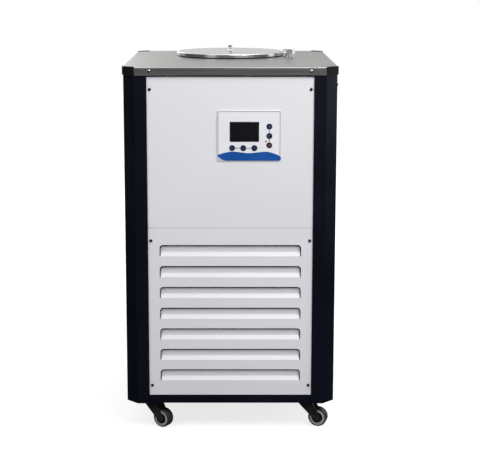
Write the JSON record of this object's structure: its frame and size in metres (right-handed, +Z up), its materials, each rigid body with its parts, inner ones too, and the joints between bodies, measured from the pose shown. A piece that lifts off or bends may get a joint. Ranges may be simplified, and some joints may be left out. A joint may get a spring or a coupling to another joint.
{
  "type": "low temperature circulator",
  "caption": "Floor-standing chiller cabinet on swivel casters: lidded bath in a steel top, louvred front, button panel, and hose nozzles and a drain valve at the rear.",
  "frame": {"origin": "on the floor, under the centre of the bounding box", "axes": "+X to the right seen from the front, +Y from the front to the rear, +Z up"},
  "size_m": [0.5552, 0.6984, 0.9945],
  "materials": {
    "frame_paint": "semi-gloss",
    "cap_plastic": "moulded",
    "stainless": "brushed",
    "lid_steel": "polished",
    "panel_paint": "powder coat",
    "screw_black": "blackened",
    "screw_steel": "bright",
    "chrome": "polished",
    "rubber": "matte",
    "foam": "foamed",
    "copper": "drawn",
    "compressor_paint": "gloss",
    "fin_aluminium": "raw",
    "shroud_zinc": "zinc plated",
    "motor_paint": "satin",
    "fan_metal": "pressed",
    "pump_iron": "cast",
    "nozzle_brass": "turned",
    "lever_red": "dipped",
    "gland_plastic": "moulded",
    "box_zinc": "zinc plated",
    "fascia_film": "satin film",
    "display_glass": "gloss",
    "button_navy": "gloss",
    "button_red": "gloss",
    "caster_steel": "black",
    "tyre": "matte",
    "hub_plastic": "moulded"
  },
  "bodies": {
    "cabinet": {"base_tray": "frame_paint", "post_front_left": "frame_paint", "post_front_right": "frame_paint", "post_rear_left": "frame_paint", "post_rear_right": "frame_paint", "corner_caps": "cap_plastic", "top_plate": "stainless", "bath_tank": "stainless", "bath_lid": "lid_steel", "upper_front_panel": "panel_paint", "lower_front_panel": "panel_paint", "left_side_panel": "panel_paint", "right_side_panel": "panel_paint", "rear_panel": "panel_paint", "panel_screws": "screw_black", "skirt_screws": "screw_steel", "lid_knob": "chrome", "port_neck": "chrome", "port_plug": "chrome", "lid_gasket": "rubber", "compressor_feet": "rubber", "tank_insulation": "foam", "evaporator_coil": "copper", "refrigerant_pipes": "copper", "coolant_pipes": "copper", "compressor": "compressor_paint", "condenser": "fin_aluminium", "fan_shroud": "shroud_zinc", "fan_motor": "motor_paint", "pump_motor": "motor_paint", "circulation_pump": "pump_iron", "outlet_nozzle": "nozzle_brass", "return_nozzle": "nozzle_brass", "drain_valve": "nozzle_brass", "power_inlet": "gland_plastic", "electrical_box": "box_zinc", "control_fascia": "fascia_film", "display_window": "display_glass", "caster_plates": "caster_steel"},
    "fan": {"fan_blades": "fan_metal"},
    "drain_handle": {"drain_lever": "lever_red"},
    "key_row_1": {"button_row_1": "button_navy"},
    "key_row_2": {"button_row_2": "button_navy"},
    "key_row_3": {"button_row_3": "button_navy"},
    "key_column_1": {"button_column_1": "button_navy"},
    "key_column_2": {"button_column_2": "button_navy"},
    "key_column_3": {"button_column_3": "button_red"},
    "swivel_front_left": {"caster_fork_front_left": "caster_steel"},
    "wheel_front_left": {"caster_tyre_front_left": "tyre", "caster_hub_front_left": "hub_plastic"},
    "swivel_front_right": {"caster_fork_front_right": "caster_steel"},
    "wheel_front_right": {"caster_tyre_front_right": "tyre", "caster_hub_front_right": "hub_plastic"},
    "swivel_rear_left": {"caster_fork_rear_left": "caster_steel"},
    "wheel_rear_left": {"caster_tyre_rear_left": "tyre", "caster_hub_rear_left": "hub_plastic"},
    "swivel_rear_right": {"caster_fork_rear_right": "caster_steel"},
    "wheel_rear_right": {"caster_tyre_rear_right": "tyre", "caster_hub_rear_right": "hub_plastic"}
  },
  "joints": [
    {"name": "fan_spin", "type": "hinge", "parent": "cabinet", "child": "fan", "pos_m": [0, -0.257, 0.2645], "axis": [0, 1, 0], "continuous": true},
    {"name": "drain_turn", "type": "hinge", "parent": "cabinet", "child": "drain_handle", "pos_m": [-0.125, 0.3203, 0.129], "axis": [0, 0, -1], "range_deg": [0, 90]},
    {"name": "button_row_1_press", "type": "slide", "parent": "cabinet", "child": "key_row_1", "axis": [0, 1, 0], "range_m": [0, 0.0008], "stiffness_N_per_m": 300},
    {"name": "button_row_2_press", "type": "slide", "parent": "cabinet", "child": "key_row_2", "axis": [0, 1, 0], "range_m": [0, 0.0008], "stiffness_N_per_m": 300},
    {"name": "button_row_3_press", "type": "slide", "parent": "cabinet", "child": "key_row_3", "axis": [0, 1, 0], "range_m": [0, 0.0008], "stiffness_N_per_m": 300},
    {"name": "button_column_1_press", "type": "slide", "parent": "cabinet", "child": "key_column_1", "axis": [0, 1, 0], "range_m": [0, 0.0008], "stiffness_N_per_m": 300},
    {"name": "button_column_2_press", "type": "slide", "parent": "cabinet", "child": "key_column_2", "axis": [0, 1, 0], "range_m": [0, 0.0008], "stiffness_N_per_m": 300},
    {"name": "button_column_3_press", "type": "slide", "parent": "cabinet", "child": "key_column_3", "axis": [0, 1, 0], "range_m": [0, 0.0008], "stiffness_N_per_m": 300},
    {"name": "swivel_front_left", "type": "hinge", "parent": "cabinet", "child": "swivel_front_left", "pos_m": [-0.206, -0.2977, 0.0642], "axis": [0, 0, 1], "continuous": true},
    {"name": "wheel_front_left", "type": "hinge", "parent": "swivel_front_left", "child": "wheel_front_left", "pos_m": [-0.17943, -0.31367, 0.025], "axis": [0.515, 0.8572, 0], "continuous": true},
    {"name": "swivel_front_right", "type": "hinge", "parent": "cabinet", "child": "swivel_front_right", "pos_m": [0.206, -0.2977, 0.0642], "axis": [0, 0, 1], "continuous": true},
    {"name": "wheel_front_right", "type": "hinge", "parent": "swivel_front_right", "child": "wheel_front_right", "pos_m": [0.2358, -0.30624, 0.025], "axis": [0.2756, 0.9613, 0], "continuous": true},
    {"name": "swivel_rear_left", "type": "hinge", "parent": "cabinet", "child": "swivel_rear_left", "pos_m": [-0.206, 0.2563, 0.0642], "axis": [0, 0, 1], "continuous": true},
    {"name": "wheel_rear_left", "type": "hinge", "parent": "swivel_rear_left", "child": "wheel_rear_left", "pos_m": [-0.17768, 0.26891, 0.025], "axis": [-0.4067, 0.9135, 0], "continuous": true},
    {"name": "swivel_rear_right", "type": "hinge", "parent": "cabinet", "child": "swivel_rear_right", "pos_m": [0.206, 0.2563, 0.0642], "axis": [0, 0, 1], "continuous": true},
    {"name": "wheel_rear_right", "type": "hinge", "parent": "swivel_rear_right", "child": "wheel_rear_right", "pos_m": [0.23043, 0.23721, 0.025], "axis": [0.6157, 0.788, 0], "continuous": true}
  ]
}
